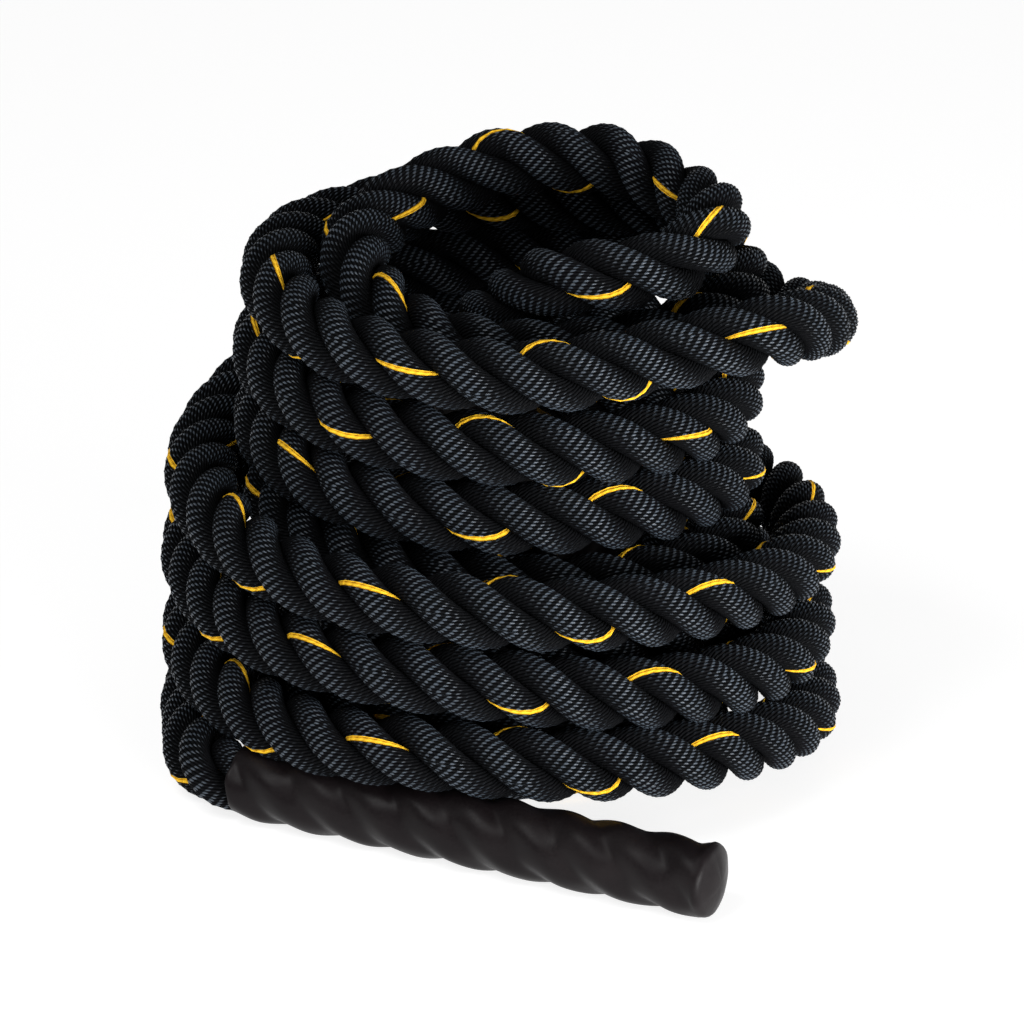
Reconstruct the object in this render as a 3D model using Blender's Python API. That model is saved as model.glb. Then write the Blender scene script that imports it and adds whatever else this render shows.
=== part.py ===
"""Battle rope, coiled as it is stored: one laid rope with a shrunk-on grip sleeve on each end.

The rope is one curve, written in rope diameters, so the whole pile grows with the rope.
Angles are in degrees, clockwise from the front as seen from above, and run on from turn to turn.
"""
import math

import bmesh
import bpy
from mathutils import Vector

# driving dimensions, in metres
ROPE_DIAMETER = 0.038
LAY_LENGTH = 0.090
SLEEVE_LENGTH = 0.267
SLEEVE_WALL = 0.0013
SEAT_GAP = 0.00025
JOINT_GAP = 0.0003
CAP_THICKNESS = 0.003
END_CHAMFER = 0.0025
WELD_DISTANCE = 0.00003
CUT_DISTANCE = 0.000003

# shares of the rope's diameter
SQUEEZE_SHARE = 0.89
LOBE_SHARE = 0.03
FREE_STEP_SHARE = 0.5
JOINT_ROOM_SHARE = 1.3
MOUTH_RUN_SHARE = 0.25
MOUTH_ROOM_SHARE = 0.7
SLEEVE_STEP_SHARE = 0.16
SAME_PASS_SHARE = 2.5

# counts
STRANDS = 3
LOOP_POINTS = 24
CURVE_STEPS = 8
POINTS_PER_LOBE = 6
FREE_TUBE_RESOLUTION = 3
COIL_RESOLUTION = 1
TAIL_STEPS = 12
TAIL_LEAD_POINTS = 5
LEAD_END_STEPS = 2
GAP_SAMPLES = 4

# where the pile's own axis stands, so that the part's box is centred on the origin
AXIS_SHARES = (-0.0422, 0.8400)

# the front sleeve's axis: the middle of its mouth, and the way to its closed end
MOUTH_SHARES = (-3.50, -2.89, 0.50)
SLEEVE_HEADING = math.radians(-26.7)

# the rope's route by hand, in rope diameters
LEAD_POINTS = (
    (-3.73, -2.77, 0.50), (-3.93, -2.58, 0.50), (-4.08, -2.25, 0.50), (-4.17, -1.75, 0.50),
)
# angle, distance from the pile's axis, height of the rope's middle
PILE_STATIONS = (
    (75, 4.34, 0.52), (90, 4.26, 0.48), (105, 4.24, 0.43), (120, 4.26, 0.40), (165, 4.29, 0.40),
    (240, 4.21, 0.40), (255, 4.21, 0.42), (270, 4.21, 0.52), (285, 4.21, 0.69), (315, 4.21, 1.06),
    (360, 4.20, 1.47), (375, 4.19, 1.536), (390, 4.19, 1.546), (420, 4.20, 1.56),
    (450, 4.21, 1.58), (480, 4.22, 1.54), (495, 4.09, 1.52),
    (510, 3.86, 1.38), (525, 3.57, 1.15), (540, 3.24, 0.76), (555, 2.87, 0.50), (570, 2.58, 0.41),
    (585, 2.40, 0.40), (600, 2.33, 0.40), (675, 2.30, 0.40), (765, 2.32, 0.40), (810, 2.28, 0.40),
    (825, 2.24, 0.40), (840, 2.21, 0.46), (855, 2.19, 0.62), (870, 2.26, 0.94), (885, 2.37, 1.27),
    (900, 2.51, 1.55), (915, 2.72, 1.60), (930, 2.86, 1.49), (945, 2.95, 1.36), (960, 3.01, 1.27),
    (975, 3.03, 1.24), (1020, 3.03, 1.23), (1110, 3.02, 1.26), (1155, 3.04, 1.30), (1185, 3.04, 1.35),
    (1200, 3.03, 1.42), (1215, 2.99, 1.60), (1230, 2.91, 1.93), (1245, 2.77, 2.36), (1260, 2.65, 2.68),
    (1275, 2.55, 2.64), (1290, 2.50, 2.51), (1305, 2.49, 2.41), (1335, 2.50, 2.26), (1365, 2.53, 2.20),
    (1410, 2.55, 2.20), (1485, 2.56, 2.26), (1515, 2.58, 2.26), (1530, 2.63, 2.30), (1545, 2.73, 2.41),
    (1560, 2.94, 2.60), (1575, 3.25, 2.76), (1590, 3.62, 2.73), (1605, 3.95, 2.40), (1620, 4.17, 2.10),
    (1635, 4.22, 1.82), (1650, 4.21, 1.63), (1665, 4.20, 1.55), (1680, 4.18, 1.55), (1695, 4.15, 1.58),
    (1710, 4.13, 1.67), (1740, 4.17, 2.02), (1755, 4.19, 2.17), (1785, 4.21, 2.40), (1800, 4.21, 2.49),
    (1815, 4.21, 2.552), (1845, 4.21, 2.59), (1890, 4.22, 2.72), (1905, 4.23, 2.79), (1920, 4.26, 2.99),
    (1935, 4.28, 3.29), (1950, 4.29, 3.54), (1965, 4.30, 3.44), (1995, 4.24, 2.94), (2010, 4.22, 2.84),
    (2025, 4.22, 2.81), (2055, 4.20, 2.83), (2070, 4.18, 2.88), (2115, 4.21, 3.26), (2130, 4.21, 3.37),
    (2160, 4.21, 3.52), (2205, 4.21, 3.67), (2220, 4.21, 3.77), (2235, 4.18, 3.90), (2250, 4.13, 3.98),
    (2265, 4.13, 4.07), (2280, 4.15, 4.23), (2295, 4.14, 4.45), (2310, 4.06, 4.57), (2325, 3.87, 4.37),
    (2355, 3.33, 3.62), (2370, 3.14, 3.38), (2385, 3.08, 3.28), (2415, 3.12, 3.08), (2430, 3.13, 3.04),
    (2475, 3.08, 3.17), (2520, 3.00, 3.34), (2535, 2.96, 3.39), (2565, 2.82, 3.50), (2580, 2.82, 3.54),
    (2610, 2.99, 3.63), (2625, 2.90, 3.65), (2640, 2.75, 3.63), (2655, 2.62, 3.60), (2670, 2.50, 3.60),
    (2685, 2.40, 3.66), (2700, 2.31, 3.77), (2715, 2.28, 3.92), (2730, 2.33, 4.05), (2745, 2.50, 4.15),
    (2760, 2.79, 4.157), (2775, 3.00, 4.11), (2790, 3.13, 4.07), (2820, 3.09, 4.15), (2865, 3.02, 4.32),
    (2895, 3.04, 4.41), (2940, 3.16, 4.57), (2955, 3.19, 4.63), (2970, 3.20, 4.66), (3000, 3.12, 4.60),
    (3015, 3.06, 4.59), (3030, 2.93, 4.66), (3045, 2.82, 4.78), (3060, 2.88, 4.80), (3075, 2.98, 4.82),
    (3090, 3.03, 4.90), (3105, 3.10, 5.02), (3120, 3.15, 5.13), (3135, 3.12, 5.14), (3150, 3.10, 5.12),
    (3165, 3.11, 5.12), (3195, 3.08, 5.23), (3225, 3.02, 5.35), (3255, 3.04, 5.43), (3315, 3.19, 5.67),
    (3330, 3.20, 5.72), (3345, 3.17, 5.68), (3375, 3.09, 5.63), (3390, 3.07, 5.69), (3405, 3.07, 5.79),
    (3420, 3.10, 5.81), (3435, 3.13, 5.88), (3450, 3.24, 5.95),
)
SIDE_POINTS = (
    (2.69, 2.52, 5.93), (3.44, 2.25, 5.63), (3.98, 1.67, 5.56), (4.26, 0.91, 5.76), (4.35, 0.11, 6.02),
    (4.26, -0.68, 6.27), (3.99, -1.43, 6.50), (3.54, -2.11, 6.66), (2.81, -2.50, 6.64),
)
CREST_STATIONS = (
    (3570, 3.26, 6.49), (3585, 3.17, 6.43), (3600, 3.11, 6.42), (3615, 3.09, 6.46), (3630, 3.09, 6.52),
    (3645, 3.13, 6.59), (3675, 3.14, 6.80), (3690, 3.08, 6.86), (3705, 3.06, 6.84), (3720, 3.10, 6.80),
    (3735, 3.12, 6.80), (3750, 3.12, 6.83), (3780, 3.12, 6.89), (3795, 3.15, 6.90), (3810, 3.20, 6.97),
    (3825, 3.24, 6.93), (3840, 3.28, 6.74),
)
TOP_POINTS = (
    (3.14, 0.96, 6.50), (3.16, 0.26, 6.38), (2.94, -0.55, 6.36), (2.47, -1.24, 6.32), (1.83, -1.64, 6.28),
    (1.10, -1.85, 6.26), (0.35, -1.96, 6.27), (-0.41, -1.90, 6.32), (-1.09, -1.62, 6.45),
    (-1.60, -1.09, 6.67), (-1.88, -0.45, 6.91), (-1.90, 0.27, 7.08), (-1.71, 0.98, 7.10),
    (-1.27, 1.56, 7.26), (-0.66, 1.91, 7.40), (0.04, 2.02, 7.61), (0.80, 1.97, 7.69), (1.52, 1.76, 7.72),
    (2.17, 1.36, 7.58), (2.64, 0.77, 7.45), (2.86, 0.04, 7.50), (2.76, -0.70, 7.50), (2.26, -1.28, 7.39),
    (1.56, -1.54, 7.38), (0.88, -1.46, 7.28), (0.40, -1.13, 6.94), (0.05, -0.66, 6.42),
)
DIVE_POINTS = ((-0.45, -0.15, 5.86),)
# the hidden end winds down inside the pile
TAIL_ANGLES = (120.0, 382.0)
TAIL_RADIUS_SHARES = (1.00, 1.28)
TAIL_HEIGHT_SHARES = (5.20, 0.43)
TAIL_SPREAD_SHARE = 0.4

# where one stretch of the rope ends and the next begins
LOWER_COIL_FROM = 75
UPPER_COIL_FROM = 2325
SIDE_BIGHT_FROM = 3450
TOP_COIL_FROM = 3570

ROPE_COLOUR = (0.009, 0.010, 0.012, 1.0)
SLEEVE_COLOUR = (0.014, 0.012, 0.013, 1.0)
ROPE_ROUGHNESS = 0.75
SLEEVE_ROUGHNESS = 0.45


def polar(angle, radius, height):
    """Return the point at a clockwise angle in degrees from the front."""
    turn = math.radians(angle)
    return Vector((-radius * math.sin(turn), -radius * math.cos(turn), height))


def station_knots(stations):
    """Return (angle, point) at each 1/LOOP_POINTS of a turn, on smooth curves through the stations."""
    angles = [station[0] for station in stations]
    slopes = even_slopes(angles, [Vector(station[1:]) for station in stations])
    step = 360 / LOOP_POINTS
    knots = []
    for index in range(len(stations) - 1):
        start, end = stations[index], stations[index + 1]
        span = end[0] - start[0]
        for number in range(round(span / step)):
            values = hermite(Vector(start[1:]), slopes[index] * span, Vector(end[1:]),
                             slopes[index + 1] * span, number * step / span)
            angle = start[0] + number * step
            knots.append((angle, polar(angle, *values)))
    knots.append((stations[-1][0], polar(*stations[-1])))
    return knots


def even_slopes(times, values):
    """Return the slope at each value of a smooth curve through all of them."""
    slopes = [(values[1] - values[0]) / (times[1] - times[0])]
    for index in range(1, len(values) - 1):
        before, after = times[index] - times[index - 1], times[index + 1] - times[index]
        rise_before = (values[index] - values[index - 1]) / before
        rise_after = (values[index + 1] - values[index]) / after
        slopes.append((rise_before * after + rise_after * before) / (before + after))
    slopes.append((values[-1] - values[-2]) / (times[-1] - times[-2]))
    return slopes


def hermite(start, start_slope, end, end_slope, share):
    """Return the cubic between two values with the given slopes, at a share of the way."""
    square = share * share
    cube = square * share
    return (
        start * (2 * cube - 3 * square + 1) + start_slope * (cube - 2 * square + share)
        + end * (3 * square - 2 * cube) + end_slope * (cube - square)
    )


def tail_knots():
    """Return the points of the hidden end, winding down in a widening turn."""
    knots = []
    for number in range(TAIL_STEPS + 1):
        share = number / TAIL_STEPS
        angle = TAIL_ANGLES[0] + (TAIL_ANGLES[1] - TAIL_ANGLES[0]) * share
        spread = min(1, share / TAIL_SPREAD_SHARE)
        radius = TAIL_RADIUS_SHARES[0] + (TAIL_RADIUS_SHARES[1] - TAIL_RADIUS_SHARES[0]) * spread
        height = TAIL_HEIGHT_SHARES[0] + (TAIL_HEIGHT_SHARES[1] - TAIL_HEIGHT_SHARES[0]) * share
        knots.append(polar(angle, radius, height))
    return knots


class Route:
    """The rope's middle line from the front sleeve's mouth to its hidden end, in metres."""

    def __init__(self):
        named = [(None, Vector(MOUTH_SHARES))]
        named += [(None, Vector(point)) for point in LEAD_POINTS]
        named += station_knots(PILE_STATIONS)
        named += [(None, Vector(point)) for point in SIDE_POINTS]
        named += station_knots(CREST_STATIONS)
        named += [(None, Vector(point)) for point in TOP_POINTS + DIVE_POINTS]
        named += [(None, point) for point in tail_knots()]
        axis = Vector((*AXIS_SHARES, 0))
        self.knots = [(point + axis) * ROPE_DIAMETER for _, point in named]
        self.points = smooth(self.knots, CURVE_STEPS)
        self.lengths = [0.0]
        for index in range(1, len(self.points)):
            step = (self.points[index] - self.points[index - 1]).length
            self.lengths.append(self.lengths[-1] + step)
        self.knot_lengths = [self.lengths[index * CURVE_STEPS] for index in range(len(self.knots))]
        self.angle_lengths = {
            named[index][0]: length for index, length in enumerate(self.knot_lengths)
            if named[index][0] is not None
        }
        self.length = self.lengths[-1]

    def at(self, length):
        """Return the point at a length along the rope."""
        low, high = 0, len(self.lengths) - 1
        length = min(max(length, 0), self.length)
        while high - low > 1:
            middle = (low + high) // 2
            if self.lengths[middle] > length:
                high = middle
            else:
                low = middle
        share = (length - self.lengths[low]) / (self.lengths[high] - self.lengths[low])
        return self.points[low].lerp(self.points[high], share)

    def between(self, start, end, inner):
        """Return the points at those inner lengths that leave room for the ends of a stretch."""
        room = JOINT_ROOM_SHARE * ROPE_DIAMETER
        return [self.at(value) for value in inner if start + room < value < end - room]

    def stretch(self, start, end, inner):
        """Return the points of one stretch, its ends straight for a diameter where it meets the next.

        start and end are lengths along the rope; inner are the lengths of the points between them.
        """
        return self.joint(start)[2:] + self.between(start, end, inner) + self.joint(end)[:2]

    def at_mouth(self, mouth, out):
        """Return the two points of a tube's end that stands square on a sleeve's mouth."""
        return [mouth + out * JOINT_GAP, mouth + out * MOUTH_RUN_SHARE * ROPE_DIAMETER]

    def joint(self, length):
        """Return the four points of a face-to-face joint: before, end, next start, after."""
        before = self.at(length - ROPE_DIAMETER)
        after = self.at(length + ROPE_DIAMETER)
        middle = (before + after) / 2
        half_gap = (after - before).normalized() * JOINT_GAP / 2
        return [before, middle - half_gap, middle + half_gap, after]


def smooth(knots, steps):
    """Return a smooth curve through the knots, with steps points between each two."""
    times = [0.0]
    for index in range(1, len(knots)):
        times.append(times[-1] + math.sqrt((knots[index] - knots[index - 1]).length))
    slopes = even_slopes(times, knots)
    points = []
    for index in range(len(knots) - 1):
        span = times[index + 1] - times[index]
        for number in range(steps):
            points.append(hermite(knots[index], slopes[index] * span, knots[index + 1],
                                  slopes[index + 1] * span, number / steps))
    points.append(knots[-1].copy())
    return points


def finish(name, colour, roughness):
    """Return a Principled material."""
    material = bpy.data.materials.new(name)
    material.use_nodes = True
    shader = material.node_tree.nodes["Principled BSDF"]
    shader.inputs["Base Color"].default_value = colour
    shader.inputs["Roughness"].default_value = roughness
    shader.inputs["Metallic"].default_value = 0.0
    material.diffuse_color = colour
    return material


def add_object(name, mesh, material):
    """Put a mesh in the scene under its node's name."""
    mesh.materials.clear()
    mesh.materials.append(material)
    part = bpy.data.objects.new(name, mesh)
    bpy.context.scene.collection.objects.link(part)
    return part


def tube_mesh(name, points, resolution):
    """Return the mesh of one unbroken capped tube of the rope's diameter."""
    curve = bpy.data.curves.new(name + "_route", "CURVE")
    curve.dimensions = "3D"
    curve.twist_mode = "MINIMUM"
    curve.bevel_depth = ROPE_DIAMETER / 2
    curve.bevel_resolution = resolution
    curve.use_fill_caps = True
    spline = curve.splines.new("POLY")
    spline.points.add(len(points) - 1)
    for target, point in zip(spline.points, points):
        target.co = (*point, 1.0)
    guide = bpy.data.objects.new(name + "_route", curve)
    bpy.context.scene.collection.objects.link(guide)
    bpy.context.view_layer.update()
    evaluated = guide.evaluated_get(bpy.context.evaluated_depsgraph_get())
    mesh = bpy.data.meshes.new_from_object(evaluated)
    mesh.name = name
    bpy.data.objects.remove(guide)
    return mesh


def cut_level(mesh):
    """Cut a mesh flat at the floor, where the rope's weight presses it."""
    work = bmesh.new()
    work.from_mesh(mesh)
    bmesh.ops.remove_doubles(work, verts=work.verts, dist=WELD_DISTANCE)
    bmesh.ops.bisect_plane(
        work, geom=work.verts[:] + work.edges[:] + work.faces[:], dist=CUT_DISTANCE,
        plane_co=(0, 0, 0), plane_no=(0, 0, 1), clear_inner=True,
    )
    rim = [edge for edge in work.edges if edge.is_boundary]
    bmesh.ops.holes_fill(work, edges=rim, sides=0)
    bmesh.ops.recalc_face_normals(work, faces=work.faces)
    work.to_mesh(mesh)
    work.free()


def least_gap(points):
    """Return the least distance between passes of a tube, measured between points on its middle line."""
    dense = []
    lengths = []
    travelled = 0.0
    for index in range(len(points) - 1):
        step = (points[index + 1] - points[index]).length
        for number in range(GAP_SAMPLES):
            share = number / GAP_SAMPLES
            dense.append(points[index].lerp(points[index + 1], share))
            lengths.append(travelled + step * share)
        travelled += step
    near = SAME_PASS_SHARE * ROPE_DIAMETER
    least = math.inf
    for index, point in enumerate(dense):
        for other in range(index + 1, len(dense)):
            if lengths[other] - lengths[index] > near:
                least = min(least, (dense[other] - point).length)
    return least - ROPE_DIAMETER


class Section:
    """A place along a sleeve: its middle, the way ahead and the two directions across it."""

    def __init__(self, middle, ahead, side):
        self.middle = middle
        self.ahead = ahead
        self.side = side
        self.lift = ahead.cross(side)

    def ring(self, radius, turn, lobe):
        """Return the points of a ring whose lobes, one a strand, are turned with their lay."""
        count = STRANDS * POINTS_PER_LOBE
        points = []
        for number in range(count):
            angle = 2 * math.pi * number / count
            reach = radius + lobe * math.cos(STRANDS * (angle - turn))
            point = self.middle + reach * (self.side * math.cos(angle) + self.lift * math.sin(angle))
            point.z = max(point.z, 0)
            points.append(point)
        return points


def sections_along(place, length, count):
    """Return count + 1 sections along place(length), carried round without extra twist."""
    middles = [place(length * number / count) for number in range(count + 1)]
    sections = []
    side = None
    for index, middle in enumerate(middles):
        ahead = middles[min(index + 1, count)] - middles[max(index - 1, 0)]
        ahead.normalize()
        if side is None:
            side = ahead.cross(Vector((0, 0, 1)))
        side = (side - ahead * side.dot(ahead)).normalized()
        sections.append(Section(middle, ahead, side))
    return sections


def bridge(work, rings):
    """Join each ring of vertices to the next with faces."""
    for lower, upper in zip(rings, rings[1:]):
        for number in range(len(lower)):
            following = (number + 1) % len(lower)
            work.faces.new((lower[number], lower[following], upper[following], upper[number]))


def cap(work, ring, middle):
    """Close a ring with a fan to its middle."""
    centre = work.verts.new(middle)
    for number in range(len(ring)):
        work.faces.new((ring[number], ring[(number + 1) % len(ring)], centre))


def mesh_of(name, work):
    """Return a mesh from a bmesh, with its faces pointing out."""
    bmesh.ops.recalc_face_normals(work, faces=work.faces)
    mesh = bpy.data.meshes.new(name)
    work.to_mesh(mesh)
    work.free()
    return mesh


class GripEnd:
    """A sleeve shrunk over the end of the rope, whose strands show through as a slow twist."""

    def __init__(self, place, count):
        self.count = count
        self.place = place
        self.step = SLEEVE_LENGTH / count
        self.sections = sections_along(place, SLEEVE_LENGTH, count)
        self.lobe = LOBE_SHARE * ROPE_DIAMETER
        self.rope_radius = SQUEEZE_SHARE * ROPE_DIAMETER / 2
        self.bore_radius = self.rope_radius + SEAT_GAP
        self.outer_radius = self.bore_radius + SLEEVE_WALL

    def rings(self, work, radius, last):
        """Return vertex rings of one radius from the mouth to section number last."""
        rings = []
        for number in range(last + 1):
            turn = 2 * math.pi * number * self.step / LAY_LENGTH
            points = self.sections[number].ring(radius, turn, self.lobe)
            rings.append([work.verts.new(point) for point in points])
        return rings

    def end_ring(self, work, radius, setback):
        """Return a vertex ring of one radius, set back from the sleeve's closed end."""
        section = self.sections[-1]
        ahead = section.middle - self.sections[-2].middle
        share = 1 - setback / self.step
        middle = self.sections[-2].middle + ahead * share
        turn = 2 * math.pi * (SLEEVE_LENGTH - setback) / LAY_LENGTH
        points = Section(middle, section.ahead, section.side).ring(radius, turn, self.lobe)
        return [work.verts.new(point) for point in points], middle

    def sleeve_mesh(self, name):
        """Return the sleeve: an open mouth, a lobed wall and a closed, chamfered end."""
        work = bmesh.new()
        outer = self.rings(work, self.outer_radius, self.count - 1)
        outer.append(self.end_ring(work, self.outer_radius, END_CHAMFER)[0])
        rim, end = self.end_ring(work, self.outer_radius - END_CHAMFER, 0)
        outer.append(rim)
        bridge(work, outer)
        cap(work, rim, end)
        inner = self.rings(work, self.bore_radius, self.count - 1)
        floor, floor_middle = self.end_ring(work, self.bore_radius, CAP_THICKNESS)
        inner.append(floor)
        bridge(work, inner)
        cap(work, floor, floor_middle)
        bridge(work, [outer[0], inner[0]])
        return mesh_of(name, work)

    def rope_end_mesh(self, name):
        """Return the squeezed end of the laid rope, which fills the sleeve's bore."""
        work = bmesh.new()
        rings = self.rings(work, self.rope_radius, self.count - 1)
        last, middle = self.end_ring(work, self.rope_radius, CAP_THICKNESS + SEAT_GAP)
        rings.append(last)
        bridge(work, rings)
        cap(work, rings[0], self.sections[0].middle)
        cap(work, last, middle)
        return mesh_of(name, work)


def evenly(start, end, step):
    """Return lengths from start to end in equal steps of about step."""
    count = max(1, round((end - start) / step))
    return [start + (end - start) * number / count for number in range(count + 1)]


def main():
    """Build the part."""
    for old in list(bpy.data.objects):
        bpy.data.objects.remove(old)
    rope = finish("polyester_rope", ROPE_COLOUR, ROPE_ROUGHNESS)
    rubber = finish("shrunk_sleeve", SLEEVE_COLOUR, SLEEVE_ROUGHNESS)
    route = Route()
    mouth = route.at(0)
    heading = Vector((math.cos(SLEEVE_HEADING), math.sin(SLEEVE_HEADING), 0))
    inner_mouth = route.length - SLEEVE_LENGTH
    sections = round(SLEEVE_LENGTH / (SLEEVE_STEP_SHARE * ROPE_DIAMETER))

    grips = {
        "front": GripEnd(lambda length: mouth + heading * length, sections),
        "inner": GripEnd(lambda length: route.at(inner_mouth + length), sections),
    }
    for side, grip in grips.items():
        add_object("grip_sleeve_" + side, grip.sleeve_mesh("grip_sleeve_" + side), rubber)
        add_object("rope_end_" + side, grip.rope_end_mesh("rope_end_" + side), rope)

    marks = route.angle_lengths
    free_step = FREE_STEP_SHARE * ROPE_DIAMETER
    tail_from = route.knot_lengths[-TAIL_STEPS - TAIL_LEAD_POINTS]
    coils = (
        ("rope_lower_coil", marks[LOWER_COIL_FROM], marks[UPPER_COIL_FROM]),
        ("rope_upper_coil", marks[UPPER_COIL_FROM], marks[SIDE_BIGHT_FROM]),
        ("rope_top_coil", marks[TOP_COIL_FROM], tail_from),
    )
    for name, start, end in coils:
        points = route.stretch(start, end, route.knot_lengths)
        print(f"{name}: least gap {1000 * least_gap(points):.2f} mm, {len(points)} points")
        mesh = tube_mesh(name, points, COIL_RESOLUTION)
        if name == "rope_lower_coil":
            cut_level(mesh)
        add_object(name, mesh, rope)
    start, end = marks[LOWER_COIL_FROM], tail_from
    lead = route.at_mouth(mouth, -heading)
    lead += [route.at(value) for value in evenly(free_step, start - free_step * LEAD_END_STEPS, free_step)]
    lead += route.joint(start)[:2]
    side_start, side_end = marks[SIDE_BIGHT_FROM], marks[TOP_COIL_FROM]
    side = route.stretch(side_start, side_end, evenly(side_start, side_end, free_step))
    down = grips["inner"].sections[0].ahead
    tail_start = end + JOINT_ROOM_SHARE * ROPE_DIAMETER
    tail_end = inner_mouth - MOUTH_ROOM_SHARE * ROPE_DIAMETER
    tail = route.joint(end)[2:]
    tail += [route.at(value) for value in evenly(tail_start, tail_end, free_step)]
    tail += reversed(route.at_mouth(route.at(inner_mouth), -down))
    for name, points in (("rope_lead", lead), ("rope_side_bight", side), ("rope_inner_tail", tail)):
        add_object(name, tube_mesh(name, points, FREE_TUBE_RESOLUTION), rope)
    print(f"rope length {route.length + SLEEVE_LENGTH:.3f} m with both ends in their sleeves")


if __name__ == "__main__":
    main()
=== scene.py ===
"""A battle rope coiled for storage: three laid strands with a shrunk grip sleeve on each end."""
import logging
import math
from bisect import bisect_right
from dataclasses import dataclass, field
from enum import Enum
from typing import Callable, Sequence, Union

import bmesh
import bpy
from bpy.types import Material, Mesh, Node, NodeSocket, NodeTree, Object
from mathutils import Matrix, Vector


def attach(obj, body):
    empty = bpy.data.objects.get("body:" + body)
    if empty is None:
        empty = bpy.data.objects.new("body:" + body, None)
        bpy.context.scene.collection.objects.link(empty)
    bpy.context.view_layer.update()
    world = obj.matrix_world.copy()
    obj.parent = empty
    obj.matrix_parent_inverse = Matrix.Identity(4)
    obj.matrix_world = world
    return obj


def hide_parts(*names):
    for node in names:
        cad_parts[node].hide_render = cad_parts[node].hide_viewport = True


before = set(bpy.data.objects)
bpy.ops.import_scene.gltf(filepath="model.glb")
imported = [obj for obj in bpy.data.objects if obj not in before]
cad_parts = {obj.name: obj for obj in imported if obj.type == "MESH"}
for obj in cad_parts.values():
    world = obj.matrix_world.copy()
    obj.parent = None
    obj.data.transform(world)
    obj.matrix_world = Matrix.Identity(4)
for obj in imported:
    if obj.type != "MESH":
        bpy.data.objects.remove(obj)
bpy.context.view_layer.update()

logging.basicConfig(level=logging.INFO, format="%(name)s: %(message)s")
log = logging.getLogger("battle_rope")

ROPE_DIAMETER = 0.038
LAY_LENGTH = 0.090
SLEEVE_LENGTH = 0.267
SLEEVE_HEADING = math.radians(-26.7)
CURVE_STEPS = 8
LOOP_POINTS = 24
AXIS_SHARES = (-0.0422, 0.8400)
MOUTH_SHARES = (-3.50, -2.89, 0.50)
# the rope's route, in rope diameters
LEAD_POINTS = (
    (-3.73, -2.77, 0.50), (-3.93, -2.58, 0.54), (-4.08, -2.25, 0.56), (-4.17, -1.75, 0.54),
)
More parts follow.
